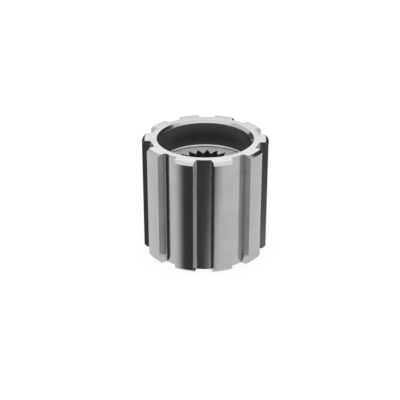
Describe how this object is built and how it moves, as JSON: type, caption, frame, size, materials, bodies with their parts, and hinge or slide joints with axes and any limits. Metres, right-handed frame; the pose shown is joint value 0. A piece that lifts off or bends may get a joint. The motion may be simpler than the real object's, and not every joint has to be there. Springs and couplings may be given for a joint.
{
  "type": "rigid sleeve coupling",
  "caption": "Short steel sleeve with wide trapezoid splines outside and serrated bushes inside, held by snap rings, that joins serrated shaft ends rigidly in line.",
  "frame": {"origin": "centre of the lower end face, on the shaft axis", "axes": "+Z along the shaft axis, with the coupling standing on its lower end; a slot between splines faces -Y and another +Y"},
  "size_m": [0.06, 0.0592, 0.0567],
  "materials": {
    "sleeve_steel": "fine turned and ground, bare",
    "bush_steel": "sintered, pale and matt, with a dark broached serration",
    "stop_ring_steel": "turned, bare",
    "snap_ring_steel": "bright drawn spring wire"
  },
  "bodies": {
    "root": {"splined_sleeve": "sleeve_steel", "upper_serrated_bush": "bush_steel", "lower_serrated_bush": "bush_steel", "shaft_stop_ring": "stop_ring_steel", "upper_snap_ring": "snap_ring_steel", "lower_snap_ring": "snap_ring_steel"}
  },
  "joints": []
}
